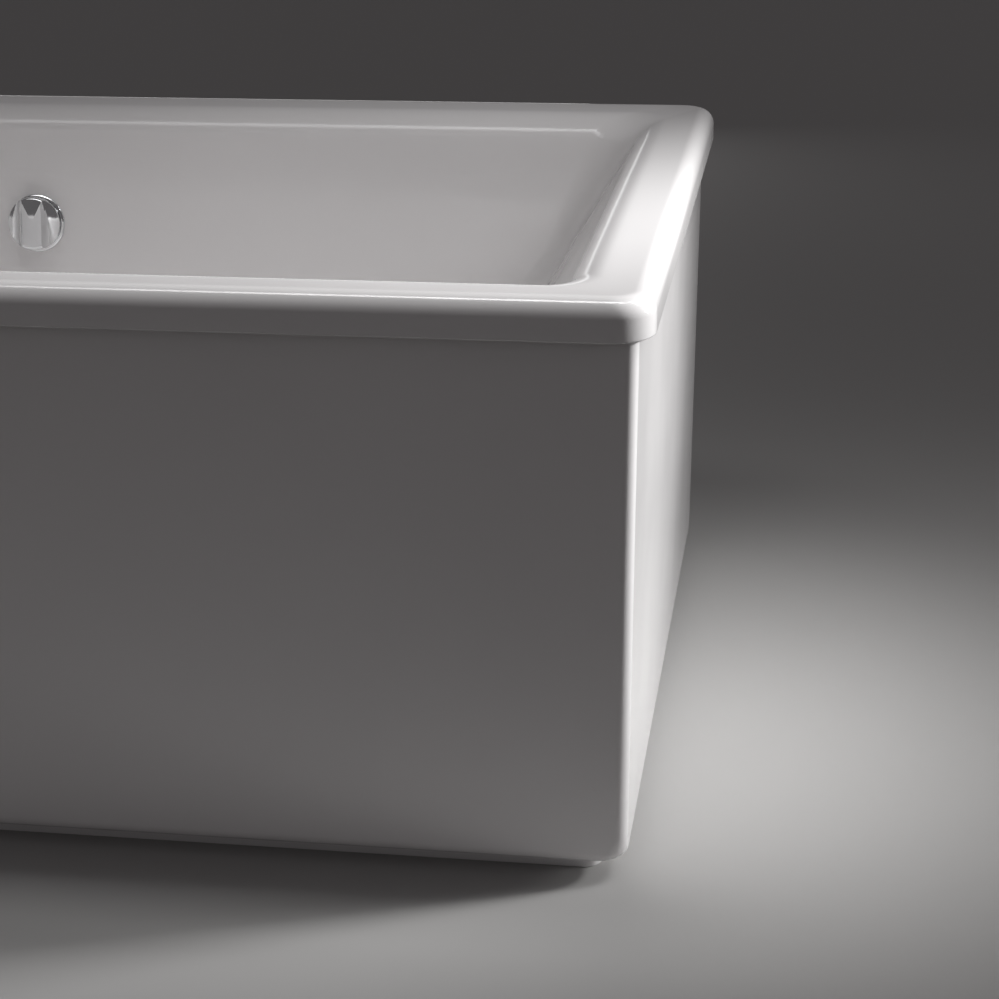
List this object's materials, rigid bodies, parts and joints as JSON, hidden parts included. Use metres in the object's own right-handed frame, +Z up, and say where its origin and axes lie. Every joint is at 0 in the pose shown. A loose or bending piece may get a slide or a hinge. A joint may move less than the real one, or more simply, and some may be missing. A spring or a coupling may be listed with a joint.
{
  "type": "freestanding bathtub",
  "caption": "Rectangular freestanding bath: dished rim, sloping end walls, wrap-round shroud on a recessed plinth, levelling feet, pop-up waste worked by an overflow knob.",
  "frame": {"origin": "on the floor, under the middle of the bath", "axes": "+X along the bath's length, +Y towards the overflow side, +Z up"},
  "size_m": [1.676, 0.914, 0.572],
  "materials": {
    "white_acrylic": "gloss",
    "shroud_acrylic": "gloss",
    "plinth_plastic": "satin",
    "board_wood": "chipboard",
    "batten_wood": "sawn",
    "frame_paint": "powder coat",
    "zinc_steel": "zinc plated",
    "chrome": "polished",
    "rubber": "matte",
    "foot_rubber": "matte",
    "pipe_plastic": "satin",
    "black_plastic": "matte"
  },
  "bodies": {
    "bath": {"bath_shell": "white_acrylic", "shroud": "shroud_acrylic", "plinth": "plinth_plastic", "base_board_left": "board_wood", "base_board_right": "board_wood", "rim_batten_front": "batten_wood", "rim_batten_back": "batten_wood", "rim_batten_left": "batten_wood", "rim_batten_right": "batten_wood", "bonding_plates": "zinc_steel", "plinth_screws": "zinc_steel", "board_screws": "zinc_steel", "batten_brackets": "zinc_steel", "foot_bushes": "zinc_steel", "lock_nuts": "zinc_steel", "waste_flange": "chrome", "overflow_bezel": "chrome", "tailpiece": "chrome", "waste_top_gasket": "rubber", "waste_bottom_gasket": "rubber", "overflow_gasket": "rubber", "waste_body": "pipe_plastic", "overflow_elbow": "pipe_plastic", "overflow_pipe": "pipe_plastic", "slip_nuts": "pipe_plastic", "lever_pin": "zinc_steel", "lift_cable": "black_plastic", "cable_clips": "black_plastic", "long_rail_front": "frame_paint", "long_rail_back": "frame_paint", "cross_rail_left_end": "frame_paint", "cross_rail_left_middle": "frame_paint", "cross_rail_right_middle": "frame_paint", "cross_rail_right_end": "frame_paint", "upright_front_left": "frame_paint", "upright_front_right": "frame_paint", "upright_back_left": "frame_paint", "upright_back_right": "frame_paint"},
    "plug": {"plug_cap": "chrome", "plug_seal": "rubber", "plug_stem": "zinc_steel"},
    "lever": {"lift_lever": "zinc_steel"},
    "knob": {"overflow_knob": "chrome", "cable_drum": "black_plastic"},
    "foot_front_left": {"foot_stud_front_left": "zinc_steel", "foot_pad_front_left": "foot_rubber"},
    "foot_front_right": {"foot_stud_front_right": "zinc_steel", "foot_pad_front_right": "foot_rubber"},
    "foot_back_left": {"foot_stud_back_left": "zinc_steel", "foot_pad_back_left": "foot_rubber"},
    "foot_back_right": {"foot_stud_back_right": "zinc_steel", "foot_pad_back_right": "foot_rubber"},
    "foot_middle_left": {"foot_stud_middle_left": "zinc_steel", "foot_pad_middle_left": "foot_rubber"},
    "foot_middle_right": {"foot_stud_middle_right": "zinc_steel", "foot_pad_middle_right": "foot_rubber"}
  },
  "joints": [
    {"name": "knob_turn", "type": "hinge", "parent": "bath", "child": "knob", "pos_m": [0, 0.34708, 0.43], "axis": [0, -0.9848, 0.1736], "range_deg": [0, 90]},
    {"name": "plug_lift", "type": "slide", "parent": "bath", "child": "plug", "axis": [0, 0, 1], "range_m": [0, 0.012]},
    {"name": "lever_turn", "type": "hinge", "parent": "bath", "child": "lever", "pos_m": [-0.018, 0, 0.0744], "axis": [0, -1, 0], "range_deg": [0, 38.94]},
    {"name": "level_front_left", "type": "slide", "parent": "bath", "child": "foot_front_left", "axis": [0, 0, -1], "range_m": [-0.01, 0.015]},
    {"name": "level_front_right", "type": "slide", "parent": "bath", "child": "foot_front_right", "axis": [0, 0, -1], "range_m": [-0.01, 0.015]},
    {"name": "level_back_left", "type": "slide", "parent": "bath", "child": "foot_back_left", "axis": [0, 0, -1], "range_m": [-0.01, 0.015]},
    {"name": "level_back_right", "type": "slide", "parent": "bath", "child": "foot_back_right", "axis": [0, 0, -1], "range_m": [-0.01, 0.015]},
    {"name": "level_middle_left", "type": "slide", "parent": "bath", "child": "foot_middle_left", "axis": [0, 0, -1], "range_m": [-0.01, 0.015]},
    {"name": "level_middle_right", "type": "slide", "parent": "bath", "child": "foot_middle_right", "axis": [0, 0, -1], "range_m": [-0.01, 0.015]}
  ],
  "couplings": [
    {"joint": "plug_lift", "follows": "knob_turn", "m_per_rad": 0.007638},
    {"joint": "lever_turn", "follows": "knob_turn", "ratio": 0.43269}
  ]
}
